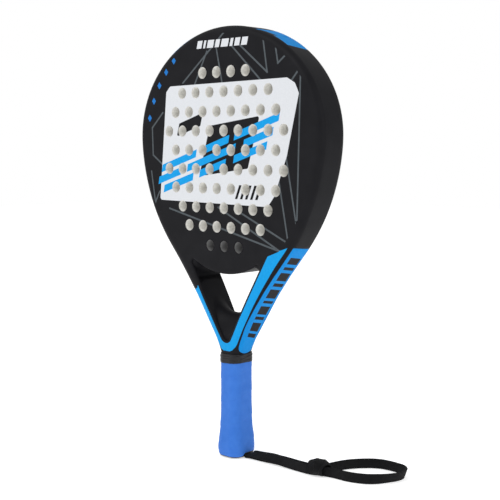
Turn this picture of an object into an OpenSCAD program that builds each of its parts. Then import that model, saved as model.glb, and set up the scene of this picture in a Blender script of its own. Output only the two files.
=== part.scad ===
// Padel racket: a drilled foam core between two laminated skins, in a hollow composite
// frame whose arms run down into the handle, with a wrapped grip and a wrist strap.
// Z runs up the racket from the butt, the front face looks along -Y.

/* [Racket] */
// Overall length, butt to tip
racket_l = 455; // [450:1:458]
// Greatest width across the head
head_w = 260; // [254:1:262]
// Thickness of the head
head_t = 38; // [36:0.5:38]

/* [Frame] */
// Width of the frame tube, seen from the front
tube_w = 14; // [12.5:0.5:15]
// Wall of the composite tubes
tube_wall = 3; // [2:0.25:3.5]
// Rounding of the rim's edges round the head
rim_round = 7; // [5:0.5:8]
// Rounding of the outer edges along the arms
arm_round = 10; // [8:0.5:11]
// Half width of the throat opening, 160 mm above the butt
throat_half = 22; // [20:0.5:23]

/* [Hitting area] */
// Thickness of each face sheet
skin_t = 1; // [0.8:0.1:1.4]
// Thickness of the printed film
film_t = 0.12; // [0.1:0.01:0.2]
// Diameter of the drilled holes
hole_d = 11.8; // [9:0.1:13]
// Spacing of the holes along a row
hole_pitch_x = 20.45; // [19:0.05:21]
// Spacing of the rows
hole_pitch_z = 20.1; // [19:0.05:20.5]
// Height of the lowest row
hole_row_z = 227.3; // [226:0.1:229]

/* [Handle] */
// Width of the composite shaft
shaft_w = 21; // [20:0.5:22]
// Depth of the composite shaft, front to back
shaft_d = 25; // [24:0.5:26]
// Thickness of the overgrip
overgrip_t = 0.6; // [0.4:0.05:0.8]
// Height of the finishing tape's lower edge
tape_low = 103.5; // [98:0.5:105]

/* [Strap] */
// Width of the webbing
strap_w = 10.5; // [9:0.25:11]
// Thickness of the webbing
strap_t = 1.6; // [1.4:0.1:1.8]

/* [Hidden] */
$fn = 48;

// Outline of the frame: half an ellipse over the widest height, then two curves
widest_z = 342;
shoulder = [82, 219];
neck = [13.2, 112];
neck_half_t = 15;
taper_h = 75;
top_steps = 20;
side_steps = 22;

// Layers through the head's thickness
half_t = head_t / 2;
skin_y = half_t - skin_t;
skin_inset = arm_round + 0.5;
skin_foot_z = 192;
hollow_y = 11;
hollow_foot_z = 140;

// Throat opening and bridge
throat_slope = 0.58;
throat_apex_z = 160 - throat_half / throat_slope;
throat_foot_round = 5.3;
throat_corner_round = 3;
bridge_low_z = 198;
bridge_low_r = 88;
bridge_high_z = 210;
bridge_high_r = 150;
bridge_half = 46;

// Composite shaft and butt cap
shaft = [shaft_w / 2, shaft_d / 2, 5];
bore = [shaft_w / 2 - 3, shaft_d / 2 - 3, 3];
shaft_foot = 9;
shaft_top = 126;
bore_top = 108;
knot_room_top = 24;
skirt_top = 34;
web_low = 4;
web_high = 7;
grip_end = neck[1] - 0.2;

// The strap leaves flat through a groove in the butt's edge and turns on its edge
groove_h = 3.8;
groove_y = [-5.25, 6.65];
pivot = [18, 0.7];
floor_gap = 0.1;
// Turn of the webbing about its length: rows of [x, degrees]
TWIST = [[18, 0], [23, 22], [27, 28], [36, 32], [44, 40], [56, 60], [72, 82], [85, 90]];
// Distance between the two strands' middles: rows of [x, mm]
GAP = [[18, 1.9], [23, 2.6], [40, 2.9], [60, 3.3], [72, 3.8], [85, 4]];
stems_end_x = 103;
slot_y = 1.3;

// Holes of each row, from the lowest row up
ROWS = [3, 6, 7, 8, 9, 8, 9, 8, 7, 4];
HOLES = [
    for (row = [0 : len(ROWS) - 1], i = [0 : ROWS[row] - 1])
        [(i - (ROWS[row] - 1) / 2) * hole_pitch_x, hole_row_z + row * hole_pitch_z]
];

// Hand-laid route of the hand loop's middle line, seen from above
LOOP = [
    [115, 4], [121, 5], [127, 6], [134, 6.5], [141, 6.5], [148, 7.5], [156, 10], [163, 13.5],
    [169, 18.5], [174.5, 25], [179, 32], [183, 39], [185.5, 46.5], [184.5, 53.5],
    [179.5, 59], [172, 62.5], [163, 64], [153, 64], [144, 62], [136, 57], [129, 50],
    [123, 42], [118.5, 33], [116, 24.5], [114, 17], [112, 11]
];

// The strap's knot: rows of [x, middle y, middle z, half y, half z]
KNOT = [
    [99, 0.7, 5.5, 3, 5.3], [102.5, 1.6, 7.8, 6.6, 7.6], [108, 3, 9.3, 9.4, 9.2],
    [114.5, 4.2, 9.2, 9.6, 9.1], [120, 6.2, 8, 8, 7.8], [123.5, 7.6, 6.2, 6, 5.8]
];

// ---- curves -------------------------------------------------------------------

function mix(a, b, t) = a + (b - a) * t;
function clamp01(t) = min(1, max(0, t));
function smooth(t) = let (u = clamp01(t)) u * u * (3 - 2 * u);
function bezier(p, t) =
    pow(1 - t, 3) * p[0] + 3 * pow(1 - t, 2) * t * p[1]
    + 3 * (1 - t) * t * t * p[2] + pow(t, 3) * p[3];
function flip(points) = [for (i = [len(points) - 1 : -1 : 0]) points[i]];
function unit(v) = v / norm(v);

// Half thickness of the frame at height z: full in the head, slimmer at the neck
function half_thick(z) =
    mix(neck_half_t, half_t, sin(90 * clamp01((z - neck[1]) / taper_h)));

// Rounding of the outer edge at height z
function edge_round(z) = mix(arm_round, rim_round, smooth((z - 200) / 70));

function right_side() = concat(
    [for (i = [0 : side_steps - 1]) bezier([neck, [22, 138], [43.5, 172.5], shoulder],
        i / side_steps)],
    [for (i = [0 : side_steps - 1]) bezier([shoulder, [123.5, 269], [head_w / 2, 320],
        [head_w / 2, widest_z]], i / side_steps)],
    [for (i = [0 : top_steps - 1]) let (a = 90 * i / top_steps)
        [head_w / 2 * cos(a), widest_z + (racket_l - widest_z) * sin(a)]]
);
RIGHT = right_side();
OUTLINE = concat(RIGHT, [[0, racket_l]], [for (p = flip(RIGHT)) [-p[0], p[1]]]);

function outward(i) =
    let (a = OUTLINE[max(0, i - 1)], b = OUTLINE[min(len(OUTLINE) - 1, i + 1)], t = unit(b - a))
    i == 0 ? [1, 0] : i == len(OUTLINE) - 1 ? [-1, 0] : [t[1], -t[0]];

// A corner-rounded rectangle of half sizes hx and hy, as a ring at height z
function ring(hx, hy, r, z, steps = 6) = [
    for (q = [0 : 3], k = [0 : steps])
        let (a = 90 * q + 90 * k / steps, sx = (q == 0 || q == 3) ? 1 : -1, sy = q < 2 ? 1 : -1)
        [sx * (hx - r) + r * cos(a), sy * (hy - r) + r * sin(a), z]
];

// ---- solids swept from rings ----------------------------------------------------

// Joins rings of equal length; a closed one runs back into its first ring
module swept(rings, closed = false) {
    n = len(rings[0]);
    m = len(rings);
    sides = [
        for (k = [0 : (closed ? m - 1 : m - 2)], i = [0 : n - 1])
            let (k2 = (k + 1) % m, j = (i + 1) % n)
            [k * n + i, k2 * n + i, k2 * n + j, k * n + j]
    ];
    ends = closed ? [] : [
        [for (i = [0 : n - 1]) i],
        [for (i = [n - 1 : -1 : 0]) (m - 1) * n + i]
    ];
    polyhedron(points = [for (r = rings) each r], faces = concat(sides, ends), convexity = 6);
}

// A sleeve between an outer and an inner profile; each row is [half x, half y, round, z]
module sleeve(outer, inner) {
    swept(concat([for (s = outer) ring(s[0], s[1], s[2], s[3])],
        [for (s = flip(inner)) ring(s[0], s[1], s[2], s[3])]), closed = true);
}

// A solid block of a profile
module block(profile) {
    swept([for (s = profile) ring(s[0], s[1], s[2], s[3])]);
}

// ---- flat shapes of the frame, seen from the front ---------------------------------

module outline2d() { polygon(OUTLINE); }

module inside2d(inset) { offset(delta = -inset) outline2d(); }

module throat_wedge2d() {
    corner_x = 60;
    corner_z = throat_apex_z + corner_x / throat_slope;
    difference() {
        polygon([[0, throat_apex_z], [corner_x, corner_z], [-corner_x, corner_z]]);
        translate([0, bridge_low_z + bridge_low_r]) circle(bridge_low_r, $fn = 120);
    }
}

// The opening: a blunt foot, and two tighter upper corners
module throat2d() {
    offset(r = throat_foot_round) offset(delta = -throat_foot_round) throat_wedge2d();
    intersection() {
        offset(r = throat_corner_round) offset(delta = -throat_corner_round) throat_wedge2d();
        translate([-80, 150]) square([160, 90]);
    }
}

module above_bridge2d() {
    difference() {
        translate([-150, bridge_high_z]) square([300, 300]);
        difference() {
            translate([-150, bridge_high_z - 1]) square([300, 60]);
            translate([0, bridge_high_z + bridge_high_r]) circle(bridge_high_r, $fn = 160);
        }
    }
}

module core2d() {
    intersection() {
        inside2d(tube_w);
        above_bridge2d();
    }
}

module bridge2d() {
    difference() {
        polygon([[-bridge_half, bridge_low_z + 8], [0, bridge_low_z - 8],
            [bridge_half, bridge_low_z + 8], [bridge_half, 240], [-bridge_half, 240]]);
        above_bridge2d();
        throat2d();
    }
}

module tube2d() {
    difference() {
        outline2d();
        core2d();
        bridge2d();
        throat2d();
    }
}

module tube_hollow2d() {
    intersection() {
        offset(delta = -tube_wall) tube2d();
        translate([-150, hollow_foot_z]) square([300, 330]);
    }
}

module skin2d() {
    difference() {
        intersection() {
            inside2d(skin_inset);
            translate([-150, skin_foot_z]) square([300, 300]);
        }
        throat2d();
    }
}

// A flat shape of the front view made solid, from y0 to y1
module plate(y0, y1) {
    translate([0, y1, 0]) rotate([90, 0, 0]) linear_extrude(y1 - y0) children();
}

module drilling() {
    for (h = HOLES)
        translate([h[0], 0, h[1]]) rotate([90, 0, 0])
            cylinder(d = hole_d, h = head_t + 4, center = true);
}

// ---- frame ----------------------------------------------------------------------

// Section of the frame's outer surface at outline point i, from the front edge to the back
function rim_section(i, steps = 4) =
    let (p = OUTLINE[i], n = outward(i), t = half_thick(p[1]), r = edge_round(p[1]))
    concat(
        [for (k = [0 : steps]) let (a = 90 * k / steps, d = r * (1 - sin(a)))
            [p[0] - n[0] * d, -t + r * (1 - cos(a)), p[1] - n[1] * d]],
        [for (k = [steps : -1 : 0]) let (a = 90 * k / steps, d = r * (1 - sin(a)))
            [p[0] - n[0] * d, t - r * (1 - cos(a)), p[1] - n[1] * d]]
    );

module envelope() {
    rows = [for (i = [0 : len(OUTLINE) - 1]) rim_section(i)];
    n = len(rows[0]);
    m = len(rows);
    half = (m - 1) / 2;
    sides = [for (i = [0 : m - 2], k = [0 : n - 2])
        [(i + 1) * n + k, (i + 1) * n + k + 1, i * n + k + 1, i * n + k]];
    front = [for (i = [0 : half - 1]) let (j = m - 1 - i)
        i == half - 1 ? [j * n, (i + 1) * n, i * n] : [j * n, (j - 1) * n, (i + 1) * n, i * n]];
    back = [for (i = [0 : half - 1]) let (j = m - 1 - i, e = n - 1)
        i == half - 1 ? [(i + 1) * n + e, j * n + e, i * n + e]
        : [(i + 1) * n + e, (j - 1) * n + e, j * n + e, i * n + e]];
    foot = [concat([for (k = [n - 1 : -1 : 0]) (m - 1) * n + k], [for (k = [0 : n - 1]) k])];
    polyhedron(points = [for (r = rows) each r], faces = concat(sides, front, back, foot),
        convexity = 8);
}

// A straight bar of one section between two heights
module bar(section, z0, z1) {
    block([for (z = [z0, z1]) [section[0], section[1], section[2], z]]);
}

module frame_tube() {
    color([0.09, 0.09, 0.1])
    difference() {
        union() {
            envelope();
            bar(shaft, shaft_foot, shaft_top);
        }
        plate(-half_t - 1, -skin_y) skin2d();
        plate(skin_y, half_t + 1) skin2d();
        plate(-half_t, half_t) core2d();
        plate(-half_t, half_t) bridge2d();
        plate(-half_t - 1, half_t + 1) throat2d();
        plate(-hollow_y, hollow_y) tube_hollow2d();
        bar(bore, shaft_foot - 1, bore_top);
    }
}

module frame_foam() {
    color([0.9, 0.88, 0.8]) plate(-hollow_y, hollow_y) tube_hollow2d();
}

module throat_bridge() {
    color([0.09, 0.09, 0.1])
    difference() {
        plate(-skin_y, skin_y) bridge2d();
        plate(-hollow_y, hollow_y) bridge_hollow2d();
    }
}

module bridge_hollow2d() { offset(delta = -tube_wall) bridge2d(); }

module bridge_foam() {
    color([0.9, 0.88, 0.8]) plate(-hollow_y, hollow_y) bridge_hollow2d();
}

// ---- hitting area -----------------------------------------------------------------

module eva_core() {
    color([0.73, 0.73, 0.7])
    difference() {
        plate(-skin_y, skin_y) core2d();
        drilling();
    }
}

// The printed film: a leaning panel with two slanted windows
module film2d() {
    difference() {
        offset(r = 6) offset(delta = -6)
            polygon([[-97, 272], [64, 272], [99, 397], [-85, 397]]);
        offset(r = 2) offset(delta = -2)
            polygon([[-36, 300], [34, 309], [50, 362], [-20, 353]]);
        offset(r = 1.5) offset(delta = -1.5)
            polygon([[-70, 342], [-34, 353], [-30, 367], [-66, 356]]);
    }
}

// The film is let into the sheet, flush with its face
module front_skin() {
    color([0.1, 0.1, 0.11])
    difference() {
        plate(-half_t, -skin_y) skin2d();
        plate(-half_t - 1, -half_t + film_t) film2d();
        drilling();
    }
}

module front_decal() {
    color([0.92, 0.93, 0.95])
    difference() {
        plate(-half_t, -half_t + film_t) film2d();
        drilling();
    }
}

// The back is the front turned round
module back_skin() { rotate([0, 0, 180]) front_skin(); }

module back_decal() { rotate([0, 0, 180]) front_decal(); }

// ---- handle -----------------------------------------------------------------------

// Outer profile of the butt cap, rows of [half x, half y, rounding, z]
CAP = [
    [11.6, 13.8, 8, 0], [12.8, 15, 9.2, 1.2], [13.2, 15.4, 9.5, 13],
    [12.3, 14.4, 8, 24], [11.5, 13.5, 6.4, skirt_top]
];

// Outer profile of the cushion grip; the overgrip follows it
BASE = [
    [14.7, 16.9, 10.7, 1.2], [15.5, 17.7, 11.3, 5], [15.7, 17.9, 11.4, 11],
    [15, 17.1, 10.8, 20], [13.8, 15.9, 9.8, 30], [13.2, 15.3, 9.2, 40],
    [12.9, 14.9, 9, 60], [12.9, 14.9, 9, 90], [12.9, 14.9, 9, grip_end]
];

function grown(profile, by) = [for (s = profile) [s[0] + by, s[1] + by, s[2] + by, s[3]]];

// The room that the strap takes under the butt's edge
module groove() {
    translate([6, groove_y[0], -1]) cube([18, groove_y[1] - groove_y[0], groove_h + 1]);
}

module handle_foam() {
    color([0.93, 0.9, 0.75]) bar(bore, knot_room_top, bore_top);
}

module butt_cap() {
    dish = [16, 20.8];
    slot = [4.8, strap_w + 0.9];
    color([0.06, 0.06, 0.065])
    difference() {
        block(CAP);
        bar(shaft, shaft_foot, skirt_top + 1);
        bar(bore, web_high, shaft_foot + 1);
        translate([-slot[0] / 2, slot_y - slot[1] / 2, 0]) cube([slot[0], slot[1], 10]);
        translate([-dish[0] / 2, -dish[1] / 2, -1]) cube([dish[0], dish[1], web_low + 1]);
        groove();
    }
}

// One staple, its crown let into the cap's skirt and its legs in the shaft's wall
module staple() {
    wire = 0.8;
    half_crown = 5;
    crown_y = 14;
    leg = 4.2;
    for (x = [-half_crown, half_crown])
        translate([x - wire / 2, crown_y - leg, 26]) cube([wire, leg, wire]);
    translate([-half_crown - wire / 2, crown_y - wire, 26])
        cube([2 * half_crown + wire, wire, wire]);
}

module cap_staples() {
    color("silver") for (turn = [0, 180]) rotate([0, 0, turn]) staple();
}

module base_grip() {
    color([0.12, 0.12, 0.13])
    difference() {
        sleeve(BASE, [CAP[1], CAP[2], CAP[3], CAP[4], concat(shaft, [skirt_top]),
            concat(shaft, [grip_end])]);
        groove();
    }
}

module overgrip() {
    color([0.24, 0.49, 0.84])
    difference() {
        sleeve(grown(BASE, overgrip_t), BASE);
        groove();
    }
}

module finishing_tape() {
    lap = grown(BASE, overgrip_t)[len(BASE) - 1];
    tape_top = neck[1] + 0.6;
    color([0.13, 0.13, 0.14])
        sleeve(
            [[14.1, 16.1, 10.1, tape_low], [14.15, 16.1, 10.1, neck[1]], [14.3, 16.1, 10.1, tape_top]],
            [[lap[0], lap[1], lap[2], tape_low], [lap[0], lap[1], lap[2], grip_end],
                [13.4, 15.4, 9.5, grip_end], [13.62, 15.42, 9.6, tape_top]]
        );
}

// ---- strap ------------------------------------------------------------------------

// Eight-sided section of a flat band: middle c, across w, through n, half sizes a and b
function band(c, w, n, a, b) = let (e = min(a, b) * 0.35) [
    for (k = [[1, 1, 1], [1, 1, 0], [1, -1, 0], [1, -1, 1], [-1, -1, 1], [-1, -1, 0],
        [-1, 1, 0], [-1, 1, 1]])
        c + w * k[0] * (a - (k[2] == 1 ? e : 0)) + n * k[1] * (b - (k[2] == 0 ? e : 0))
];

module strap_anchor_knot() {
    color([0.05, 0.05, 0.05])
        block([
            [3.5, 5, 3, 7.4], [6, 7.6, 3, 9.5], [6.8, 8.6, 3, 13],
            [6, 7.6, 3, 17], [3.5, 5, 3, 19.5]
        ]);
}

// The doubled tail: down from the knot, round through the slot and out to the groove
module strap_tail() {
    bend = 2.6;
    half = strap_t + 0.1;
    low = floor_gap + half;
    end_x = pivot[0] - strap_w / 2 - 0.3;
    shift_x = 8.6;
    color([0.05, 0.05, 0.05])
        swept(concat(
            [band([0, slot_y, 7.4], [0, 1, 0], [-1, 0, 0], strap_w / 2, half)],
            [for (k = [0 : 5]) let (a = 18 * k)
                band([bend * (1 - cos(a)), slot_y, low + bend * (1 - sin(a))],
                    [0, 1, 0], [-cos(a), 0, -sin(a)], strap_w / 2, half)],
            [for (t = [0.25, 0.5, 0.75, 1])
                band([mix(bend, shift_x, t), mix(slot_y, pivot[1], smooth(t)), low],
                    [0, 1, 0], [0, 0, -1], strap_w / 2, half)],
            [band([end_x, pivot[1], low], [0, 1, 0], [0, 0, -1], strap_w / 2, half)]
        ));
}

// Turn at x, 0 flat and 90 on its edge
function twist(x) = lookup(x, TWIST);
function gap(x) = lookup(x, GAP);

function stem_section(x, side) =
    let (a = twist(x), g = gap(x), dx = max(0, pivot[0] - x),
        half = sqrt(max(0.2, pow(strap_w / 2, 2) - dx * dx)),
        w = [0, cos(a), sin(a)], n = [0, sin(a), -cos(a)],
        mid = [x, pivot[1], floor_gap + strap_w / 2 * sin(a) + (g + strap_t) / 2 * cos(a)])
    band(mid + n * side * g / 2, w, n, half, strap_t / 2);

module strap_stems() {
    lead = [for (a = [8, 30, 52, 74]) pivot[0] - strap_w / 2 * cos(a)];
    turn = [for (k = [0 : 6]) mix(pivot[0], 27, k / 6)];
    run = [for (k = [1 : 15]) mix(27, stems_end_x, k / 15)];
    color([0.05, 0.05, 0.05])
        for (side = [-1, 1])
            swept([for (x = concat(lead, turn, run)) stem_section(x, side)]);
}

module strap_knot() {
    steps = 20;
    color([0.05, 0.05, 0.05])
        swept([for (s = KNOT) [for (k = [0 : steps - 1]) let (a = 360 * k / steps)
            [s[0], s[1] + s[3] * cos(a), s[2] + s[4] * sin(a)]]]);
}

module strap_loop() {
    last = len(LOOP) - 1;
    mid_z = floor_gap + strap_w / 2;
    color([0.05, 0.05, 0.05])
        swept([for (i = [0 : last])
            let (t = unit(LOOP[min(last, i + 1)] - LOOP[max(0, i - 1)]))
            band([LOOP[i][0], LOOP[i][1], mid_z], [0, 0, 1], [-t[1], t[0], 0],
                strap_w / 2, strap_t / 2)]);
}

frame_tube();
frame_foam();
throat_bridge();
bridge_foam();
eva_core();
front_skin();
back_skin();
front_decal();
back_decal();
handle_foam();
butt_cap();
cap_staples();
base_grip();
overgrip();
finishing_tape();
strap_anchor_knot();
strap_tail();
strap_stems();
strap_knot();
strap_loop();
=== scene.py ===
import math

import bmesh
import bpy
import numpy as np
from mathutils import Euler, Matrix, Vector
from mathutils.geometry import delaunay_2d_cdt


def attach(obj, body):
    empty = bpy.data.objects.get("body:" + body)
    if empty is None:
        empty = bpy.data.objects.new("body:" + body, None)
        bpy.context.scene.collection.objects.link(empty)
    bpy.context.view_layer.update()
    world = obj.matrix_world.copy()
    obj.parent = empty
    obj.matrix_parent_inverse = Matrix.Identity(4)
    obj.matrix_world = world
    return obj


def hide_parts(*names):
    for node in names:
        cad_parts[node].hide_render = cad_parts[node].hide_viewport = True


# Looks of a padel racket. Lengths are in millimetres until a mesh is made.
# The racket stands on its butt, its front face looks along -Y, Z runs up its length.

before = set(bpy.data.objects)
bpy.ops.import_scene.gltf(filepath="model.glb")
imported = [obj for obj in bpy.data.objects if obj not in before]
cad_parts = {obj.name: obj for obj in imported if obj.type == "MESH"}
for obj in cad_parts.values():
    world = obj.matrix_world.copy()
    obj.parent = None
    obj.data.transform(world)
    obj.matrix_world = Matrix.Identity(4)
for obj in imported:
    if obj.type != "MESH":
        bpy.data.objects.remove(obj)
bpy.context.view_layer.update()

# ---- sizes shared with part.scad -----------------------------------------------------

HEAD_W, LENGTH, WIDEST_Z = 260.0, 455.0, 342.0
NECK, SHOULDER = (13.2, 112.0), (82.0, 219.0)
HOLE_R, PITCH_X, PITCH_Z, ROW_Z = 5.9, 20.45, 20.1, 227.3
ROWS = [3, 6, 7, 8, 9, 8, 9, 8, 7, 4]     # holes in each row, from the lowest
LOW_ROW_TOP = 237.3                       # the lowest row ends below this height
HOLES = np.array([((i - (n - 1) / 2) * PITCH_X, ROW_Z + row * PITCH_Z)
                  for row, n in enumerate(ROWS) for i in range(n)])
SHEET_INSET, SHEET_FOOT = 11.5, 192.0
HALF_T = 19.0                 # half the thickness of the head
SIDE_U, FRONT_U = 9, 24       # places round the rim: end of the flat side, start of the face
RIM_END_U = 24.6              # how far the rim's skin runs on over the face
FLOOR_GAP = 0.1               # height of the strap's lowest edge


def smooth(t):
    u = np.clip(t, 0, 1)
    return u * u * (3 - 2 * u)


def half_thick(z):
    return 15 + 4 * np.sin(np.pi / 2 * np.clip((z - NECK[1]) / 75, 0, 1))


def edge_round(z):
    return 10 - 3 * smooth((z - 200) / 70)


def bezier(p, n=160):
    t = np.linspace(0, 1, n)[:, None]
    p = np.array(p, float)
    return ((1 - t) ** 3 * p[0] + 3 * (1 - t) ** 2 * t * p[1]
            + 3 * (1 - t) * t * t * p[2] + t ** 3 * p[3])


def lengths(points):
    return np.r_[0, np.cumsum(np.linalg.norm(np.diff(points, axis=0), axis=1))]


def resample(points, step):
    s = lengths(points)
    t = np.linspace(0, s[-1], int(round(s[-1] / step)) + 1)
    return np.stack([np.interp(t, s, c) for c in points.T], 1)


def outline(step=2.5):
    """Outline of the racket in the XZ plane from the neck's right side over the tip to its
    left side, with its outward normals and arc lengths"""
    a = np.linspace(0, np.pi / 2, 160)
    half = np.concatenate([
        bezier([NECK, (22, 138), (43.5, 172.5), SHOULDER]),
        bezier([SHOULDER, (123.5, 269), (HEAD_W / 2, 320), (HEAD_W / 2, WIDEST_Z)])[1:],
        np.stack([HEAD_W / 2 * np.cos(a), WIDEST_Z + (LENGTH - WIDEST_Z) * np.sin(a)], 1)[1:]])
    half = resample(half, step)
    whole = np.concatenate([half, (half * [-1, 1])[::-1][1:]])
    t = np.gradient(whole, axis=0)
    n = np.stack([t[:, 1], -t[:, 0]], 1) / np.linalg.norm(t, axis=1)[:, None]
    s = lengths(whole)
    side = np.sign(whole[:, 0])[:, None] * [1.0, 0.0]
    blend = smooth(np.minimum(s, s[-1] - s) / 6)[:, None]
    n = n * blend + side * (1 - blend)
    return whole, n / np.linalg.norm(n, axis=1)[:, None], s


OUT, OUT_N, OUT_S = outline()
TOTAL = OUT_S[-1]


def rim_point(s, u):
    """Point of the rim's outer surface. s runs along the outline; u runs round the edge from
    the front face (-FRONT_U) over the side (-SIDE_U to SIDE_U) to the back face (FRONT_U), and
    on along the flat face"""
    p = [np.interp(s, OUT_S, OUT[:, k]) for k in (0, 1)]
    n = [np.interp(s, OUT_S, OUT_N[:, k]) for k in (0, 1)]
    t, r = half_thick(p[1]), edge_round(p[1])
    v = np.abs(u)
    a = np.radians(np.clip((FRONT_U - v) / (FRONT_U - SIDE_U) * 90, 0, 90))
    inset = r * (1 - np.sin(a)) + np.maximum(v - FRONT_U, 0)
    z = p[1] - n[1] * inset
    y = np.where(v > SIDE_U, t - r * (1 - np.cos(a)), (t - r) * v / SIDE_U)
    y = np.where(v > FRONT_U - 0.01, half_thick(z), y)
    return np.stack([p[0] - n[0] * inset, np.sign(u) * y, z], -1)


def s_at(z):
    """Arc length at which the right side reaches height z"""
    half = len(OUT) // 2
    return float(np.interp(z, OUT[:half, 1], OUT_S[:half]))


# ---- throat opening ------------------------------------------------------------------

SLOPE = 0.58                              # how far a side leans out for each millimetre up
HALF_AT, AT_Z = 22.0, 160.0               # half width of the opening, and its height
SIDE_N = np.array([1.0, -SLOPE]) / math.hypot(1, SLOPE)
DISC = np.array([0.0, 286.0])             # circle of the bridge's lower edge
DISC_R = 88.0
FOOT_R, CORNER_R = 5.3, 3.0               # roundings of the opening in the two faces
WEB_FOOT_R, WEB_CORNER_R = 28.5, 4.0      # what the web adds to them in mid-thickness
THROAT_ROUND, THROAT_FLAT = 2.5, 3.1      # rounded edge of the opening, and where it ends
FOOT_N, SIDE_STEPS, SHEET_STEP = 9, 36, 24   # points of the foot's arc and a side; the sheet's foot


def throat_loop(out, corner_r=CORNER_R, foot_r=FOOT_R):
    """The opening's outline, moved out into the material; every value of out gives the same
    number of points, from the foot up the right side and round"""
    p0 = np.array([HALF_AT, AT_Z])
    along = np.array([-SIDE_N[1], SIDE_N[0]])
    foot = np.array([0.0, AT_Z - (HALF_AT * SIDE_N[0] - foot_r) / -SIDE_N[1]])
    q = p0 - corner_r * SIDE_N - DISC
    b, c = q @ along, q @ q - (DISC_R + corner_r) ** 2
    corner = p0 - corner_r * SIDE_N + (-b - math.sqrt(b * b - c)) * along
    a_side = math.atan2(SIDE_N[1], SIDE_N[0])
    to_disc = DISC - corner
    a_disc = math.atan2(to_disc[1], to_disc[0])

    def arc(c, r, a0, a1, n):
        a = np.linspace(a0, a1, n)
        return np.stack([c[0] + r * np.cos(a), c[1] + r * np.sin(a)], 1)
    foot_z, top_z = (foot + (foot_r + out) * SIDE_N)[1], (corner + (corner_r + out) * SIDE_N)[1]
    t = np.linspace(0, 1, SIDE_STEPS)
    t[SHEET_STEP] = (SHEET_FOOT - foot_z) / (top_z - foot_z)
    t = t[:, None]
    side = (foot + (foot_r + out) * SIDE_N) * (1 - t) + (corner + (corner_r + out) * SIDE_N) * t
    right = np.concatenate([
        arc(foot, foot_r + out, -math.pi / 2, a_side, FOOT_N),
        side[1:],
        arc(corner, corner_r + out, a_side, a_disc, 9)[1:],
        arc(DISC, DISC_R - out, a_disc - math.pi, -math.pi / 2, 24)[1:]])
    return np.concatenate([right, (right * [-1, 1])[::-1][1:-1]])


# ---- flat shapes cut by their prints -------------------------------------------------

def inside(q, loop):
    c = np.zeros(len(q), bool)
    loop = np.asarray(loop)
    for a, b in zip(loop, np.roll(loop, -1, axis=0)):
        crosses = (a[1] > q[:, 1]) != (b[1] > q[:, 1])
        c ^= crosses & (q[:, 0] < (b[0] - a[0]) * (q[:, 1] - a[1]) / (b[1] - a[1] + 1e-30) + a[0])
    return c


class Flat:
    """Collects points and lines in the plane, then cuts the plane into triangles along them"""

    def __init__(self):
        self.points, self.edges = [], []

    def line(self, points, closed=False):
        first = len(self.points)
        self.points += [tuple(p) for p in points]
        n = len(points)
        self.edges += [(first + i, first + (i + 1) % n) for i in range(n if closed else n - 1)]

    def dots(self, points):
        self.points += [tuple(p) for p in points]

    def cut(self, choose):
        """choose gives a material index for each triangle's centre, or -1 to leave it out.
        Points that no kept triangle uses are dropped"""
        v, _, f, _, _, _ = delaunay_2d_cdt(
            [Vector(p) for p in self.points], self.edges, [], 0, 1e-4)
        v = np.array([(a.x, a.y) for a in v])
        f = np.array([tuple(t) for t in f])
        kind = choose(v[f].mean(axis=1))
        f, kind = f[kind >= 0], kind[kind >= 0]
        used = np.unique(f)
        place = np.full(len(v), -1)
        place[used] = np.arange(len(used))
        return v[used], place[f], kind


def filleted(points, r, n=6):
    """A convex outline with its corners rounded"""
    points = [np.array(p, float) for p in points]
    out = []
    for i, p in enumerate(points):
        a, b = points[i - 1] - p, points[(i + 1) % len(points)] - p
        a, b = a / np.linalg.norm(a), b / np.linalg.norm(b)
        half = math.acos(np.clip(a @ b, -1, 1)) / 2
        c = p + (a + b) / np.linalg.norm(a + b) * r / math.sin(half)
        start = p + a * r / math.tan(half) - c
        end = p + b * r / math.tan(half) - c
        for t in np.linspace(0, 1, n):
            d = start * (1 - t) + end * t
            out.append(c + d / np.linalg.norm(d) * r)
    return np.array(out)


def slanted(x0, x1, z0, z1, lean):
    """A bar between two heights whose upper edge is shifted by lean"""
    return [(x0, z0), (x1, z0), (x1 + lean, z1), (x0 + lean, z1)]


# ---- colours of the print by material index, with a blue darkened by painted shade for the rim's sides ---

BLACK, BLUE, WHITE, GREY, SIDE_BLUE_SHADE, CUT, ICON = range(7)


def stripes():
    """Blue speed stripes that climb across the panel"""
    rows = [(1.5, 9.0, [(2, 50), (60, 100), (112, 160)]),
            (12.5, 20.0, [(-3, 34), (44, 118), (130, 172)]),
            (23.5, 31.0, [(6, 62), (74, 112), (120, 184)])]
    climb = math.radians(17.5)
    c, s = math.cos(climb), math.sin(climb)
    out = []
    for v0, v1, runs in rows:
        for u0, u1 in runs:
            bar = [(u0, v0), (u1, v0), (u1 + 4, v1), (u0 + 4, v1)]
            out.append([(-93 + u * c - v * s, 279 + u * s + v * c) for u, v in bar])
    return out


def thin_lines(width=1.9):
    """Grey straight lines over the black ground, as thin quads"""
    routes = [
        [(2, 449), (-60, 399)], [(-24, 430), (-42, 397)], [(-10, 432), (-2, 397)],
        [(8, 437), (52, 397)], [(20, 436), (60, 405), (54, 441)], [(70, 434), (74, 413), (97, 430)],
        [(92, 396), (103, 408), (99, 250)], [(-92, 368), (-109, 352), (-108, 322), (-90, 310)],
        [(-111, 304), (-105, 270), (-98, 282)], [(-82, 264), (74, 228)], [(-8, 268), (76, 228)],
        [(16, 267), (88, 236)], [(76, 296), (88, 237)], [(84, 326), (99, 252)]]
    out = []
    for route in routes:
        for a, b in zip(route, route[1:]):
            a, b = np.array(a, float), np.array(b, float)
            t = (b - a) / np.linalg.norm(b - a)
            n = np.array([-t[1], t[0]]) * width / 2
            e = t * width / 2
            out.append([a - e - n, b + e - n, b + e + n, a - e + n])
    return out


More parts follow.
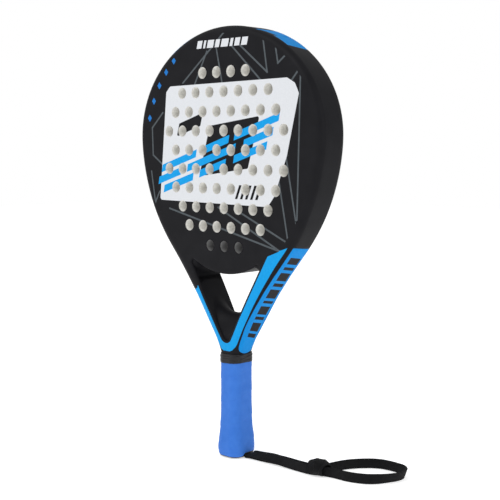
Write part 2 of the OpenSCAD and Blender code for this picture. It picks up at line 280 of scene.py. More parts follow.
def small_marks():
    """A column of small diamonds down the upper left edge"""
    places = [(-74, 423), (-86, 411.5), (-97, 397.5), (-106, 381), (-113, 362.5)]
    return [[(x - 3.2, z), (x, z - 3.9), (x + 3.2, z), (x, z + 3.9)] for x, z in places]


PANEL = filleted([(-97, 273), (61, 271), (70, 282), (86, 322), (101, 383), (96, 393), (86, 398.5),
                  (-80, 396), (-86, 390)], 3)
WINDOW = filleted([(-36, 300), (34, 309), (50, 362), (-20, 353)], 2)
NOTCH = filleted([(-70, 342), (-34, 353), (-30, 367), (-66, 356)], 1.5)
HATCH = [slanted(x, x + 3.4, 277.5, 292, 6) for x in (16, 23, 30, 37, 44)]
TIP_BLOCKS = [slanted(x, x + w, 433.5, 441.5, 2.2)
              for x, w in ((-39, 7), (-29.5, 3), (-24, 9), (-12.5, 6),
                           (-4, 10), (8.5, 4), (15, 7), (24.5, 8))]


def throat_side(z):
    return HALF_AT + SLOPE * (z - AT_Z) + THROAT_FLAT / SIDE_N[0]


def band_regions():
    """Blue band along the throat: its outline on the front face, right arm and left arm"""
    right = [(throat_side(221), 221), (71, 225), (86, 231), (112, 241), (112, 115.8),
             (0, 115.8), (0, 128), (throat_side(134), 134)]
    left = [(0, 115.8), (-112, 115.8), (-112, 154), (-40, 180), (-throat_side(183), 183),
            (-throat_side(134), 134), (0, 128)]
    return [right, left]


BANDS = band_regions()


def front_print(q):
    """Material index of points of the front face"""
    kind = np.full(len(q), BLACK)

    def put(loops, colour):
        for loop in loops:
            kind[inside(q, loop)] = colour
    put(thin_lines(), GREY)
    put([PANEL], WHITE)
    put([WINDOW, NOTCH], BLACK)
    put(HATCH, BLACK)
    put(stripes(), BLUE)
    put(TIP_BLOCKS, WHITE)
    put(small_marks(), ICON)
    put(BANDS, BLUE)
    return kind


def print_loops():
    return (thin_lines() + [PANEL, WINDOW, NOTCH] + HATCH + stripes() + TIP_BLOCKS
            + small_marks() + BANDS)


# ---- meshes --------------------------------------------------------------------------

class Build:
    """Collects vertices and faces in millimetres, then makes one object of them"""

    def __init__(self):
        self.v, self.f, self.m, self.n = [], [], [], 0

    def add(self, verts, faces, kinds=0):
        verts = np.asarray(verts, float)
        self.v.append(verts)
        self.f += [[int(i) + self.n for i in face] for face in faces]
        self.m += [int(kinds)] * len(faces) if np.isscalar(kinds) else [int(k) for k in kinds]
        self.n += len(verts)

    def grid(self, rows, kinds=0, closed=False, around=False):
        """Quads between rows of points; closed joins the last row to the first, around the
        last point of each row to its first"""
        rows = [np.asarray(r, float) for r in rows]
        m, n = len(rows), len(rows[0])
        faces = [[k * n + i, ((k + 1) % m) * n + i, ((k + 1) % m) * n + (i + 1) % n,
                  k * n + (i + 1) % n]
                 for k in range(m if closed else m - 1) for i in range(n if around else n - 1)]
        self.add(np.concatenate(rows), faces, kinds)

    def make(self, name, materials, sharp=32, weld=0.002, fill=False):
        """sharp is the angle, in degrees, from which an edge is shaded hard; weld is the distance
        within which vertices merge; fill closes what gaps are left along seams"""
        mesh = bpy.data.meshes.new(name)
        mesh.from_pydata((np.concatenate(self.v) * 0.001).tolist(), [], self.f)
        mesh.polygons.foreach_set("material_index", self.m)
        for material in materials:
            mesh.materials.append(material)
        bm = bmesh.new()
        bm.from_mesh(mesh)
        bmesh.ops.remove_doubles(bm, verts=bm.verts, dist=weld * 0.001)
        bmesh.ops.dissolve_degenerate(bm, edges=bm.edges, dist=1e-7)
        if fill:
            bmesh.ops.holes_fill(bm, edges=[e for e in bm.edges if e.is_boundary], sides=0)
        bmesh.ops.recalc_face_normals(bm, faces=bm.faces)
        for face in bm.faces:
            face.smooth = True
        for edge in bm.edges:
            if len(edge.link_faces) != 2 or edge.calc_face_angle(0) > math.radians(sharp):
                edge.smooth = False
        bm.to_mesh(mesh)
        bm.free()
        piece = bpy.data.objects.new(name, mesh)
        bpy.context.scene.collection.objects.link(piece)
        return piece


def turned(v):
    """The same points half a turn about Z: the back is the front turned round"""
    return v * [-1, -1, 1]


# ---- materials -----------------------------------------------------------------------

def linear(rgb):
    """Colour given as 0 to 255 in sRGB, as Blender's linear colour"""
    return tuple((c / 12.92 if c <= 0.04045 else ((c + 0.055) / 1.055) ** 2.4)
                 for c in (x / 255 for x in rgb)) + (1,)


ROUGH_SPREAD = 0.06


def material(name, colour, rough, second=None, scale=60, detail=3.0, bump=0.0, bump_scale=900,
             sheen=0.0, specular=0.5, sharpness=0.5):
    """A plain procedural surface: colour varied by noise, roughness varied by noise, fine bump"""
    m = bpy.data.materials.new(name)
    m.use_nodes = True
    nt = m.node_tree
    shader = nt.nodes["Principled BSDF"]
    where = nt.nodes.new("ShaderNodeTexCoord")

    def noise(scale, detail):
        n = nt.nodes.new("ShaderNodeTexNoise")
        n.inputs["Scale"].default_value = scale
        n.inputs["Detail"].default_value = detail
        nt.links.new(where.outputs["Object"], n.inputs["Vector"])
        return n
    ramp = nt.nodes.new("ShaderNodeValToRGB")
    ramp.color_ramp.elements[0].color = linear(colour)
    ramp.color_ramp.elements[1].color = linear(second or colour)
    ramp.color_ramp.elements[0].position = 0.5 - sharpness / 2
    ramp.color_ramp.elements[1].position = 0.5 + sharpness / 2
    nt.links.new(noise(scale, detail).outputs["Fac"], ramp.inputs["Fac"])
    nt.links.new(ramp.outputs["Color"], shader.inputs["Base Color"])
    spread = nt.nodes.new("ShaderNodeMapRange")
    spread.inputs["To Min"].default_value = rough - ROUGH_SPREAD
    spread.inputs["To Max"].default_value = rough + ROUGH_SPREAD
    nt.links.new(noise(scale * 0.6, 2.0).outputs["Fac"], spread.inputs["Value"])
    nt.links.new(spread.outputs["Result"], shader.inputs["Roughness"])
    if bump:
        b = nt.nodes.new("ShaderNodeBump")
        b.inputs["Strength"].default_value = 1.0
        b.inputs["Distance"].default_value = bump * 0.001
        nt.links.new(noise(bump_scale, 3.0).outputs["Fac"], b.inputs["Height"])
        nt.links.new(b.outputs["Normal"], shader.inputs["Normal"])
    shader.inputs["Sheen Weight"].default_value = sheen
    shader.inputs["Specular IOR Level"].default_value = specular
    return m


def print_materials():
    """Lacquered prints in the order of the print's material indices; the rim's side blue is the
    print blue darkened by painted shade
    """
    gloss = dict(bump=0.012, bump_scale=700, specular=0.08)
    return [
        material("lacquer_black", (20, 20, 23), 0.5, (25, 25, 28), **gloss),
        material("print_blue", (12, 140, 207), 0.5, (22, 150, 215), scale=500, **gloss),
        material("print_white", (199, 202, 206), 0.5, (208, 210, 214), scale=800, **gloss),
        material("print_grey", (70, 76, 80), 0.5, (80, 86, 90), scale=300, **gloss),
        # the print blue darkened by painted shade, for the rim's side-facing surfaces
        material("print_blue_side_shade", (8, 124, 198), 0.58, (18, 133, 206), scale=400, **gloss),
        material("cut_edge", (206, 205, 200), 0.75, (222, 221, 216), scale=900, bump=0.06),
        material("print_icon", (26, 102, 176), 0.42, (34, 116, 192), scale=300, **gloss),
    ]


def eva_material():
    """Cut foam: mottled warm grey, a darker grey below LOW_ROW_TOP, in the lowest row of holes"""
    m = material("eva_foam", (226, 225, 220), 0.85, (247, 246, 242), scale=420, detail=5,
                 bump=0.25, bump_scale=520, specular=0.2, sharpness=0.35)
    nt = m.node_tree
    shader = nt.nodes["Principled BSDF"]
    ramp = next(n for n in nt.nodes if n.type == "VALTORGB")
    where = next(n for n in nt.nodes if n.type == "TEX_COORD")
    split = nt.nodes.new("ShaderNodeSeparateXYZ")
    low = nt.nodes.new("ShaderNodeMath")
    low.operation = "LESS_THAN"
    low.inputs[1].default_value = LOW_ROW_TOP * 0.001
    mix = nt.nodes.new("ShaderNodeMix")
    mix.data_type = "RGBA"
    mix.inputs["B"].default_value = linear((138, 138, 138))
    nt.links.new(where.outputs["Object"], split.inputs["Vector"])
    nt.links.new(split.outputs["Z"], low.inputs[0])
    nt.links.new(low.outputs["Value"], mix.inputs["Factor"])
    nt.links.new(ramp.outputs["Color"], mix.inputs["A"])
    nt.links.new(mix.outputs["Result"], shader.inputs["Base Color"])
    return m


# ---- frame shell ---------------------------------------------------------------------

def band_edge(s):
    """Where the blue band ends on the rounded edge, as u"""
    return np.interp(s, [2.5, 3.8, 8, 12.5, 22, 43, 70, 95, 112, 140],
                     [-24, -20.9, -18.4, -17.5, -17.2, -16.8, -17.3, -17.9, -18.4, -18.8])


def rim_prints():
    """Loops in the rim's own (s, u) plane with their material index"""
    out = []
    for top, corner in ((228.6, 222.2), (176.4, 174.6)):
        more = 0 if top > 200 else 5.2
        edge = [(s, band_edge(s) + more * smooth((s - 8) / 17))
                for s in np.r_[2.5, 3.8, np.linspace(5, s_at(top), 50)]]
        loop = [(2.5, -26), *edge, (s_at(corner), -24), (s_at(corner - 0.6), -26)]
        out.append(([(s if top > 200 else TOTAL - s, u) for s, u in loop], BLUE))
    s_top = s_at(229.3)
    panel = [(s_top + 1.5, -12.8), (125, -13.4), (100, -13.8), (80, -14.1), (60, -14.5),
             (43, -15.1), (33, -15.4), (15, -15.2), (9, -15.1), (6.5, -14.7), (4.8, -13.8),
             (3.2, -12), (2, -9.5), (1.2, -6), (0.9, -2), (0.9, 3), (1.5, 7.5), (3.2, 11.5),
             (6, 14), (9, 15), (100, 13.8), (s_top - 1.5, 12.8)]
    # the side panel is the band's blue; its darker colour is painted shade
    out.append((panel, SIDE_BLUE_SHADE))
    bars = [(22, 5), (30, 11), (45, 4), (52, 11), (67, 3.5), (74, 12), (90, 4.5), (98, 11),
            (113, 4), (121, 9)]
    for s, w in bars:
        out.append((slanted(s, s + w, -8.5, 9.0, -3.5), BLACK))
    # patches on the rim near the tip take the blue darkened by painted shade
    out.append(([(412, -13), (400, -8), (387, -3.5), (387, 16), (408, 14)], SIDE_BLUE_SHADE))
    out.append(([(389, -9), (368, -9), (362, 9), (366, 15), (389, 16)], SIDE_BLUE_SHADE))
    return out


def frame_shell(mats):
    build = Build()
    prints = []
    for loop, kind in rim_prints():
        loop = np.array(loop, float)
        prints += [(loop, kind), ([TOTAL, 0] - loop, kind)]
    flat = Flat()
    round_us = np.arange(0, FRONT_U - SIDE_U + 0.1, 1.5)
    us = np.r_[-RIM_END_U, round_us - FRONT_U, -4.5, 0, 4.5, SIDE_U + round_us, RIM_END_U]
    for u in (-RIM_END_U, RIM_END_U):
        flat.line([(s, u) for s in OUT_S])
    for s in (0, TOTAL):
        flat.line([(s, u) for u in us])
    flat.dots([(s, u) for s in OUT_S[1:-1] for u in us[1:-1]])
    for loop, _ in prints:
        flat.line(loop, closed=True)

    def choose(q):
        kind = np.full(len(q), BLACK)
        for loop, k in prints:
            kind[inside(q, loop)] = k
        kind[(np.abs(q[:, 1]) > RIM_END_U) | (q[:, 0] < 0) | (q[:, 0] > TOTAL)] = -1
        return kind
    v, f, kind = flat.cut(choose)
    build.add(rim_point(v[:, 0], v[:, 1]), f, kind)

    # front and back of the frame, between the rim, the face sheet and the throat
    rim = rim_point(OUT_S, np.full(len(OUT_S), -RIM_END_U))[:, [0, 2]]
    throat = throat_loop(THROAT_FLAT)
    sheet = sheet_loop()
    flat = Flat()
    flat.line(rim)
    flat.line([rim[-1], rim[0]])
    flat.line(throat, closed=True)
    flat.line(sheet, closed=True)
    for loop in print_loops():
        flat.line(loop, closed=True)
    x, z = np.meshgrid(np.arange(-75, 76, 3.0), np.arange(113.5, 192, 2.5))
    dots = np.stack([x.ravel(), z.ravel()], 1)
    walls = np.concatenate([rim, throat, sheet])
    near = np.array([np.min(np.hypot(*(walls - d).T)) for d in dots])
    dots = dots[inside(dots, rim) & ~inside(dots, throat) & (near > 1.5)]
    flat.dots(dots)

    def choose(q):
        kind = front_print(q)
        kind[~inside(q, rim) | inside(q, throat) | inside(q, sheet)] = -1
        return kind
    v, f, kind = flat.cut(choose)
    front = np.stack([v[:, 0], -half_thick(v[:, 1]), v[:, 1]], 1)
    build.add(front, f, kind)
    build.add(turned(front), f, kind)

    # wall of the throat: rounded edges, and a web between the arms in mid-thickness
    rows = []
    steps = [THROAT_FLAT,
             *[THROAT_ROUND * (1 - math.sin(math.radians(a))) for a in range(0, 91, 15)]]
    for side in (-1, 1):
        part = []
        for k, out in enumerate(steps):
            loop = throat_loop(out)
            drop = 0 if k == 0 else THROAT_ROUND * (1 - math.cos(math.radians(15 * (k - 1))))
            y = half_thick(loop[:, 1]) - drop
            part.append(np.stack([loop[:, 0], side * y, loop[:, 1]], 1))
        rows.append(part)
    mid = []
    for a in np.linspace(0, math.pi, 17)[1:-1]:
        swell = math.sin(a)
        loop = throat_loop(0, CORNER_R + WEB_CORNER_R * swell, FOOT_R + WEB_FOOT_R * swell)
        y = (half_thick(loop[:, 1]) - THROAT_ROUND) * -math.cos(a)
        mid.append(np.stack([loop[:, 0], y, loop[:, 1]], 1))
    build.grid(rows[0] + mid + rows[1][::-1], around=True)

    # hidden wall behind the face sheets
    walls = [np.stack([sheet[:, 0], np.full(len(sheet), y), sheet[:, 1]], 1)
             for y in (-HALF_T, HALF_T)]
    build.grid(walls, around=True)
    return build.make("frame_shell", mats, fill=True)


def sheet_loop():
    """Outline of the face sheets: inset from the rim, and along the throat's upper part"""
    inner = OUT - OUT_N * SHEET_INSET
    keep = inner[inner[:, 1] > SHEET_FOOT + 0.5]
    at = float(np.interp(SHEET_FOOT, inner[:len(inner) // 2, 1], inner[:len(inner) // 2, 0]))
    throat = throat_loop(THROAT_FLAT)
    upper = throat[throat[:, 1] > SHEET_FOOT + 0.5]
    edge = throat[FOOT_N - 1 + SHEET_STEP, 0]
    return np.array([(at, SHEET_FOOT), *keep, (-at, SHEET_FOOT), (-edge, SHEET_FOOT),
                     *upper[::-1], (edge, SHEET_FOOT)])


# ---- face sheets ---------------------------------------------------------------------

def face_sheets(mats):
    rim = sheet_loop()
    flat = Flat()
    flat.line(rim, closed=True)
    a = np.radians(np.arange(48) * 7.5)
    mouth = HOLE_R + 0.15
    for h in HOLES:
        flat.line(np.stack([h[0] + mouth * np.cos(a), h[1] + mouth * np.sin(a)], 1), closed=True)
    for loop in print_loops():
        flat.line(loop, closed=True)

    def choose(q):
        kind = front_print(q)
        near = np.min(np.hypot(q[:, None, 0] - HOLES[:, 0], q[:, None, 1] - HOLES[:, 1]), axis=1)
        kind[~inside(q, rim) | (near < mouth * 0.9965)] = -1
        return kind
    v, f, kind = flat.cut(choose)
    d = np.hypot(v[:, None, 0] - HOLES[:, 0], v[:, None, 1] - HOLES[:, 1])
    hole = d.argmin(axis=1)
    on_rim = d.min(axis=1) < mouth + 0.01
    narrow = v.copy()
    narrow[on_rim] = HOLES[hole[on_rim]] + (v[on_rim] - HOLES[hole[on_rim]]) * HOLE_R / mouth
    n = len(v)

    def level(points, y):
        return np.stack([points[:, 0], np.full(len(points), y), points[:, 1]], 1)
    count = {}
    for t in f:
        for i in range(3):
            e = (int(t[i]), int(t[(i + 1) % 3]))
            count[tuple(sorted(e))] = count.get(tuple(sorted(e)), 0) + 1
    edges = [e for e, c in count.items() if c == 1]
    pieces = []
    for name, turn in (("face_sheet_front", False), ("face_sheet_back", True)):
        build = Build()
        verts = np.concatenate([level(v, -HALF_T), level(narrow, 0.15 - HALF_T),
                                level(narrow, 1.0 - HALF_T)])
        if turn:
            verts = turned(verts)
        walls, kinds = [], []
        for e in edges:
            for k in (0, 1):
                walls.append([e[0] + k * n, e[1] + k * n, e[1] + (k + 1) * n, e[0] + (k + 1) * n])
                kinds.append(CUT if on_rim[e[0]] and v[e[0], 1] > LOW_ROW_TOP - 0.3 else BLACK)
        build.add(verts, list(f) + [t[::-1] + 2 * n for t in f] + walls,
                  np.concatenate([kind, np.full(len(f), BLACK), kinds]).astype(int))
        pieces.append(build.make(name, mats, sharp=25, weld=0.0005))
    return pieces


# ---- grip ----------------------------------------------------------------------------

GRIP = np.array([(15.3, 17.5, 11.3, 1.2), (16.1, 18.3, 11.9, 5), (16.3, 18.5, 12, 11),
                 (15.6, 17.7, 11.4, 20), (14.4, 16.5, 10.4, 30), (13.8, 15.9, 9.8, 40),
                 (13.5, 15.5, 9.6, 60), (13.5, 15.5, 9.6, 90), (13.5, 15.5, 9.6, 112)])
TAPE = np.array([(14.1, 16.1, 10.1, 102.5), (14.15, 16.1, 10.1, 111), (14.3, 16.1, 10.1, 112.6)])
FOLD = np.array([(0.0, 109.7), (0.07, 110.8), (0.12, 111.0), (0.25, 110.2), (0.4, 109.5),
                 (0.5, 110.0), (0.62, 109.8), (0.7, 110.0), (0.8, 110.4), (0.87, 111.6),
                 (0.91, 111.8), (0.95, 108.9), (1.0, 109.7)])


def soft_profile(rows, spread):
    """A function of height that gives half sizes and rounding, its corners eased over spread"""
    z = np.arange(rows[0, 3] - 20, rows[-1, 3] + 20, 0.5)
    k = np.exp(-(np.arange(-20, 21) * 0.5 / spread) ** 2)
    dense = [np.interp(z, rows[:, 3], rows[:, i]) for i in range(3)]
    eased = [np.convolve(np.pad(d, 20, mode="edge"), k / k.sum(), "valid") for d in dense]
    return lambda h: [float(np.interp(h, z, e)) for e in eased]


def ring(hx, hy, r, arc=12, side=6):
    """Corner-rounded rectangle: its points, normals and how far round each point is, 0 to 1"""
    points, normals = [], []
    for q in range(4):
        sx, sy = (1 if q in (0, 3) else -1), (1 if q < 2 else -1)
        a = np.radians(90 * q + np.linspace(0, 90, arc + 1))
        n = np.stack([np.cos(a), np.sin(a)], 1)
        points += list([sx * (hx - r), sy * (hy - r)] + r * n)
        normals += list(n)
        nx, ny = (1 if (q + 1) % 4 in (0, 3) else -1), (1 if (q + 1) % 4 < 2 else -1)
        end = np.array([nx * (hx - r), ny * (hy - r)]) + r * n[-1]
        start = points[-1]
        for t in np.linspace(0, 1, side + 1)[1:-1]:
            points.append(start * (1 - t) + end * t)
            normals.append(n[-1])
    points = np.array(points)
    s = lengths(np.concatenate([points, points[:1]]))
    return points, np.array(normals), s[:-1] / s[-1]


def overgrip(mats):
    """Thin tape wound up the handle, each turn lapped over the last, turned in at the butt
    and lifted where the strap leaves under it"""
    profile = soft_profile(GRIP, 3.0)
    foot, top, pitch, turn_in = GRIP[0, 3], 105.0, 26.0, 2.4
    v = np.r_[np.linspace(0, 0.024, 8)[:-1], np.linspace(0.024, 1, 150)]

    def height(row, x, y):
        lift = 2.45 * smooth((x - 4) / 8) * smooth((y + 6.4) / 3.2) * smooth((16 - y) / 4.5)
        return (foot + lift) * (1 - row) + top * row
    outer = []
    for row in v:
        base, normals, share = ring(*profile(foot + (top - foot) * row))
        low = height(0, base[:, 0], base[:, 1])
        z = height(row, base[:, 0], base[:, 1])
        phase = np.mod(z / pitch - share + 0.35, 1.0) * pitch
        lap = 0.28 * smooth(phase / 0.9) * (1 - smooth((phase - 4.0) / 7.0))
        crease = 0.035 * np.sin(z * 1.1 + share * 25) * np.sin(z * 0.37 + share * 50)
        rise = np.clip(z - low, 0, turn_in)
        tuck = turn_in - np.sqrt(turn_in ** 2 - (turn_in - rise) ** 2)
        p = base + normals * (lap + crease - tuck)[:, None]
        outer.append(np.column_stack([p, z]))
    base, normals, _ = ring(*profile(foot))
    z = height(0, base[:, 0], base[:, 1]) + 0.15
    under = np.column_stack([base - normals * 3.6, z])
    base, normals, _ = ring(*profile(top))
    inner = np.column_stack([base - normals * 0.7, np.full(len(base), top)])
    deep = np.column_stack([base - normals * 0.7, np.full(len(base), 6.0)])
    build = Build()
    build.grid([under, *outer, inner, deep], closed=True, around=True)
    return build.make("overgrip_wrap", mats, sharp=60)


def finishing_tape(mats):
    """Stretched black tape that closes the grip: a doubled lower layer whose edge runs up and
    down round the neck, and creases across it"""
    profile = soft_profile(TAPE, 0.6)
    creases = [(0.02, 105.6, 16, 0.16), (0.15, 107, -22, 0.16), (0.31, 105, 12, 0.18),
               (0.47, 107.5, 26, 0.15), (0.60, 104.8, -13, 0.16), (0.68, 107.2, 14, 0.2),
               (0.78, 105.4, -20, 0.16), (0.88, 106.8, 12, 0.2), (0.955, 104.9, -14, 0.18)]
    outer = []
    for row in np.linspace(0, 1, 64):
        base, normals, share = ring(*profile(102.5 + 9.8 * row), arc=24, side=12)
        low = 102.1 + 0.9 * np.clip(np.cos(2 * np.pi * (share - 0.875)), 0, 1)
        z = low + (112.35 + 0.12 * np.sin(2 * np.pi * share * 3) - low) * row
        fold = np.interp(share, *FOLD.T)
        out = 0.12 - 0.62 * smooth((z - fold + 0.35) / 0.7) + 0.18 * smooth((z - fold + 2.2) / 1.9)
        for at, mid, lean, tall in creases:
            d = (share - at + 0.5) % 1 - 0.5
            off = z - mid - lean * d
            out += tall * np.exp(-(off / 0.6) ** 2) * np.exp(-(d / 0.07) ** 2)
            out -= 0.7 * tall * np.exp(-((off - 1.1) / 0.6) ** 2) * np.exp(-(d / 0.07) ** 2)
        edge = 0.3 * (1 - smooth(row / 0.04)) + 0.15 * smooth((row - 0.96) / 0.04)
        outer.append(np.column_stack([base + normals * (out - edge)[:, None], z]))
    base, normals, _ = ring(*profile(112.4), arc=24, side=12)
    top = np.column_stack([base - normals * 1.1, outer[-1][:, 2] - 0.15])
    base, normals, _ = ring(*profile(102.5), arc=24, side=12)
    low = np.column_stack([base - normals * 0.8, outer[0][:, 2] + 0.1])
    build = Build()
    build.grid([low, *outer, top], closed=True, around=True)
    return build.make("tape_collar", mats, sharp=75)


# ---- strap ---------------------------------------------------------------------------

BAND_W, BAND_T = 10.5, 1.6
PIVOT = (18.0, 0.7)
TWIST = np.array([(18, 0), (23, 22), (27, 28), (36, 32), (44, 40), (56, 60), (72, 82), (85, 90)])
GAP = np.array([(18, 1.9), (23, 2.6), (40, 2.9), (60, 3.3), (72, 3.8), (85, 4.0)])
LOOP = np.array([
    (115, 4), (121, 5), (127, 6), (134, 6.5), (141, 6.5), (148, 7.5), (156, 10), (163, 13.5),
    (169, 18.5), (174.5, 25), (178.5, 32), (181.5, 39), (182.8, 46.5), (181.5, 53.5),
    (177.5, 59), (172, 62.5), (163, 64), (153, 64), (144, 62), (136, 57), (129, 50),
    (123, 42), (118.5, 33), (116, 24.5), (114, 17), (112, 11)], float)


LOOP_MID, LOOP_LEAN = (160, 40), 19     # the loop's far end leans out, in degrees


def eased(points, per=6):
    """A smooth curve through points"""
    p = np.concatenate([[2 * points[0] - points[1]], points, [2 * points[-1] - points[-2]]])
    t = np.linspace(0, 1, per, endpoint=False)[:, None]
    out = [0.5 * (2 * b + (c - a) * t + (2 * a - 5 * b + 4 * c - d) * t ** 2
                  + (3 * b - a - 3 * c + d) * t ** 3)
           for a, b, c, d in zip(p, p[1:], p[2:], p[3:])]
    return np.concatenate(out + [points[-1:]])


def stem(side, xs):
    """One strand from the butt's edge to the knot: middle line, direction across the band,
    and half width, which closes to a round end under the butt"""
    turn = np.radians(np.interp(xs, *TWIST.T))
    gap = np.interp(xs, *GAP.T)
    across = np.stack([0 * xs, np.cos(turn), np.sin(turn)], 1)
    up = np.stack([0 * xs, np.sin(turn), -np.cos(turn)], 1)
    mid = np.stack([xs, PIVOT[1] + 0 * xs,
                    FLOOR_GAP + BAND_W / 2 * np.sin(turn) + (gap + BAND_T) / 2 * np.cos(turn)], 1)
    half = np.sqrt(np.maximum(0.6, (BAND_W / 2) ** 2 - np.maximum(0, PIVOT[0] - xs) ** 2))
    return mid + up * (side * gap / 2)[:, None], across, half


def band_section(half_w, half_t=BAND_T / 2):
    """Section of woven webbing: a slightly thicker selvedge along each edge"""
    top = [(1.0, 0.0), (0.975, 0.55), (0.92, 0.95), (0.84, 0.98), (0.76, 0.84), (0.4, 0.92),
           (0.0, 0.95), (-0.4, 0.92), (-0.76, 0.84), (-0.84, 0.98), (-0.92, 0.95), (-0.975, 0.55)]
    return [(a * half_w, b * half_t) for a, b in top] + [(-a * half_w, -b * half_t) for a, b in top]


def sweep_band(build, line, across, half, closed=False):
    """Sweeps the webbing's section along a line; gives each vertex its place in the weave"""
    t = np.roll(line, -1, axis=0) - np.roll(line, 1, axis=0)
    if not closed:
        t[0], t[-1] = line[1] - line[0], line[-1] - line[-2]
    t /= np.linalg.norm(t, axis=1)[:, None]
    across = across - t * np.sum(across * t, axis=1)[:, None]
    across /= np.linalg.norm(across, axis=1)[:, None]
    n = np.cross(t, across)
    s = lengths(line)
    rows, weave = [], []
    for p, w, m, h, at in zip(line, across, n, half, s):
        section = band_section(h)
        rows.append([p + w * a + m * b for a, b in section])
        weave += [(at, a, b) for a, b in section]
    build.grid(rows, closed=closed, around=True)
    if not closed:
        k, n0 = len(rows[0]), build.n - len(rows) * len(rows[0])
        build.f += [[n0 + i for i in range(k)], [build.n - k + i for i in range(k)]]
        build.m += [0, 0]
    return weave


def woven(piece, weave):
    """Stores each vertex's place in the weave: along, across and through, in millimetres"""
    data = piece.data.attributes.new("weave", "FLOAT_VECTOR", "POINT")
    data.data.foreach_set("vector", np.array(weave, float).ravel())


def strap_line():
    near_x = np.r_[PIVOT[0] - BAND_W / 2 * np.cos(np.radians([10, 30, 50, 70])),
                   np.arange(PIVOT[0], 30, 0.75), np.arange(30, 99.1, 1.5)]
    a, a_across, a_half = stem(-1.0, near_x)
    b, b_across, b_half = stem(1.0, near_x)
    level = FLOOR_GAP + BAND_W / 2
    turn = eased(np.column_stack([LOOP, np.full(len(LOOP), level)]), 4)
    lean = np.radians(LOOP_LEAN) * smooth((turn[:, 0] - 166) / 15)
    out = turn[:, :2] - LOOP_MID
    out /= np.linalg.norm(out, axis=1)[:, None]
    turn[:, 2] = FLOOR_GAP + BAND_W / 2 * np.cos(lean) + BAND_T / 2 * np.sin(lean)
    tilt = np.column_stack([out * np.sin(lean)[:, None], np.cos(lean)])
    inn = eased(np.array([a[-1], (105, -0.4, level), (110, 1.8, level), turn[0]]), 5)[1:-1]
    out = eased(np.array([turn[-1], (109, 7.4, level), (104, 4.2, level), b[-1]]), 5)[1:-1]
    line = np.concatenate([a, inn, turn, out, b[::-1]])
    mid = len(inn) + len(turn) + len(out)
    upright = np.tile([0, 0, 1.0], (mid, 1))
    upright[len(inn):len(inn) + len(turn)] = tilt
    across = np.concatenate([a_across, upright, b_across[::-1]])
    half = np.concatenate([a_half, np.full(mid, BAND_W / 2), b_half[::-1]])
    return line, across, half


def strap(mats):
    line, across, half = strap_line()
    build = Build()
    weave = sweep_band(build, line, across, half)
    piece = build.make("strap_webbing", mats, sharp=50, weld=0)
    woven(piece, weave)
    return piece, line


def knot(mats):
    """The overhand knot: strands wound over each other round the bundle"""
    build = Build()
    weave = []
    turns = [((107.2, 2.4, 8.7), (0.93, 0.12, 0.36), (7.4, 6.9), 0.2),
             ((115.6, 4.6, 8.6), (0.90, -0.20, -0.34), (7.3, 6.8), 1.1),
             ((111.2, 3.5, 9.0), (0.80, 0.45, -0.10), (8.2, 7.6), 2.0)]
    for mid, axis, (ry, rz), start in turns:
        axis = np.array(axis) / np.linalg.norm(axis)
        side = np.cross([0, 0, 1.0], axis)
        side /= np.linalg.norm(side)
        up = np.cross(axis, side)
        a = start + np.linspace(0, 2 * np.pi, 49)[:-1]
        wob = 0.25 * np.sin(2 * a + start)
        line = np.array(mid) + np.outer((ry + wob) * np.cos(a), side) \
            + np.outer((rz + wob) * np.sin(a), up)
        weave += sweep_band(build, line, np.tile(axis, (len(line), 1)),
                            np.full(len(line), BAND_W / 2 * 0.86), closed=True)
    piece = build.make("strap_knot_wraps", mats, sharp=50, weld=0)
    woven(piece, weave)
    return piece


def webbing_material():
    """Black polyester webbing: fine cross ribs and a chevron of threads"""
    m = material("webbing_black", (14, 14, 15), 0.8, (22, 22, 24), scale=300, sheen=0.03,
                 specular=0.1)
    nt = m.node_tree
    shader = nt.nodes["Principled BSDF"]
    at = nt.nodes.new("ShaderNodeAttribute")
    at.attribute_name = "weave"
    heights = []
    for scale, kind in ((0.62, "X"), (0.5, "DIAGONAL")):
        wave = nt.nodes.new("ShaderNodeTexWave")
        wave.bands_direction = kind
        wave.inputs["Scale"].default_value = scale
        wave.inputs["Distortion"].default_value = 0.4
        nt.links.new(at.outputs["Vector"], wave.inputs["Vector"])
        heights.append(wave)
    add = nt.nodes.new("ShaderNodeMath")
    add.operation = "ADD"
    nt.links.new(heights[0].outputs["Fac"], add.inputs[0])
    nt.links.new(heights[1].outputs["Fac"], add.inputs[1])
    b = nt.nodes.new("ShaderNodeBump")
    b.inputs["Strength"].default_value = 0.9
    b.inputs["Distance"].default_value = 0.00018
    nt.links.new(add.outputs["Value"], b.inputs["Height"])
    nt.links.new(b.outputs["Normal"], shader.inputs["Normal"])
    return m


# ---- camera, light and floor ---------------------------------------------------------

def camera():
    data = bpy.data.cameras.new("camera")
    data.lens, data.sensor_width, data.clip_start = 73.94, 36, 0.01
    cam = bpy.data.objects.new("camera", data)
    cam.location = (0.74140, -0.79138, 0.33240)
    cam.rotation_euler = Euler((math.radians(84.194), 0, math.radians(42.36)))
    bpy.context.scene.collection.objects.link(cam)
    bpy.context.scene.camera = cam


def area(name, where, aim, size, power):
    data = bpy.data.lights.new(name, "AREA")
    data.shape, data.size, data.size_y, data.energy = "RECTANGLE", size[0], size[1], power
    lamp = bpy.data.objects.new(name, data)
    lamp.location = where
    lamp.rotation_euler = (Vector(aim) - Vector(where)).to_track_quat("-Z", "Y").to_euler()
    bpy.context.scene.collection.objects.link(lamp)


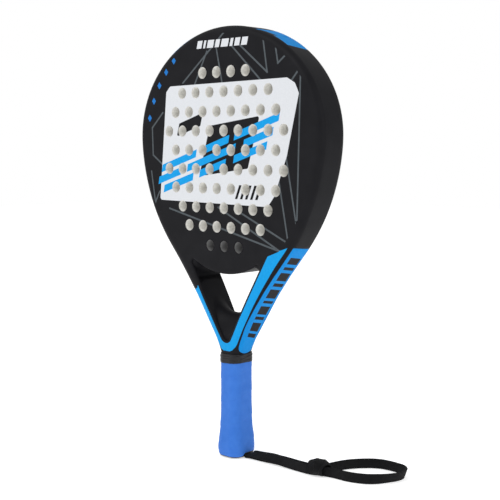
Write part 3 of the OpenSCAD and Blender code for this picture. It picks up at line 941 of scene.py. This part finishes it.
def studio():
    """White surroundings that light the racket softly, two large lamps and a white floor"""
    bpy.context.scene.view_settings.view_transform = "Standard"
    world = bpy.data.worlds.new("studio")
    world.use_nodes = True
    nt = world.node_tree
    around = nt.nodes["Background"]
    around.inputs["Color"].default_value = (1, 1, 1, 1)
    around.inputs["Strength"].default_value = 0.72
    backdrop = nt.nodes.new("ShaderNodeBackground")
    backdrop.inputs["Color"].default_value = (1, 1, 1, 1)
    seen = nt.nodes.new("ShaderNodeLightPath")
    mix = nt.nodes.new("ShaderNodeMixShader")
    nt.links.new(seen.outputs["Is Camera Ray"], mix.inputs["Fac"])
    nt.links.new(around.outputs["Background"], mix.inputs[1])
    nt.links.new(backdrop.outputs["Background"], mix.inputs[2])
    nt.links.new(mix.outputs["Shader"], nt.nodes["World Output"].inputs["Surface"])
    bpy.context.scene.world = world
    area("key", (-0.5, -1.6, 1.6), (0, 0, 0.25), (1.2, 1.2), 16)
    area("side", (1.9, -0.2, 0.9), (0, 0, 0.25), (0.8, 1.4), 7)
    mesh = bpy.data.meshes.new("floor")
    corners = [(-4, -4), (4, -4), (4, 4), (-4, 4)]
    mesh.from_pydata([(x, y, -0.0003) for x, y in corners], [], [(0, 1, 2, 3)])
    floor = bpy.data.objects.new("floor", mesh)
    bpy.context.scene.collection.objects.link(floor)
    pale = material("floor_pale", (240, 240, 240), 0.9, (244, 244, 244), scale=3, specular=0.1)
    shader = pale.node_tree.nodes["Principled BSDF"]
    shader.inputs["Emission Color"].default_value = (1, 1, 1, 1)
    shader.inputs["Emission Strength"].default_value = 0.5
    mesh.materials.append(pale)


# ---- making --------------------------------------------------------------------------

camera()
studio()

mats = print_materials()
shell = frame_shell(mats)
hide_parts("frame_tube", "throat_bridge")
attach(shell, "racket")

front, back = face_sheets(mats)
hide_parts("front_skin", "front_decal")
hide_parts("back_skin", "back_decal")
for piece in (front, back):
    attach(piece, "racket")

grip = overgrip([material("overgrip_blue", (47, 105, 192), 0.62, (55, 113, 199), scale=120,
                          bump=0.03, bump_scale=1300, specular=0.2, sheen=0.03)])
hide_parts("overgrip")
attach(grip, "racket")

collar = finishing_tape([material("tape_black", (24, 24, 26), 0.34, (30, 30, 32), scale=90,
                                  bump=0.02, bump_scale=800, specular=0.22)])
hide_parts("finishing_tape")
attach(collar, "racket")

webbing = webbing_material()
band, route = strap([webbing])
wraps = knot([webbing])
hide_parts("strap_stems", "strap_loop")
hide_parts("strap_knot")
for piece in (band, wraps):
    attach(piece, "strap")

plain = {
    "eva_core": eva_material(),
    "butt_cap": material("cap_plastic", (22, 22, 24), 0.55, (28, 28, 30), bump=0.03),
    "base_grip": material("cushion_grip", (30, 30, 32), 0.8, (38, 38, 40), bump=0.05),
    "cap_staples": material("staple_wire", (150, 150, 152), 0.35, (180, 180, 182)),
    "handle_foam": material("handle_foam", (214, 200, 150), 0.9, (228, 216, 172), bump=0.2),
    "frame_foam": material("frame_foam", (222, 218, 204), 0.9, (236, 233, 222), bump=0.2),
    "bridge_foam": material("bridge_foam", (222, 218, 204), 0.9, (236, 233, 222), bump=0.2),
    "strap_tail": material("webbing_tail", (15, 15, 16), 0.8, (24, 24, 26), bump=0.1),
    "strap_anchor_knot": material("webbing_anchor", (15, 15, 16), 0.8, (24, 24, 26), bump=0.1),
}
plain["cap_staples"].node_tree.nodes["Principled BSDF"].inputs["Metallic"].default_value = 1
for node, look in plain.items():
    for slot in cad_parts[node].material_slots:
        slot.material = look
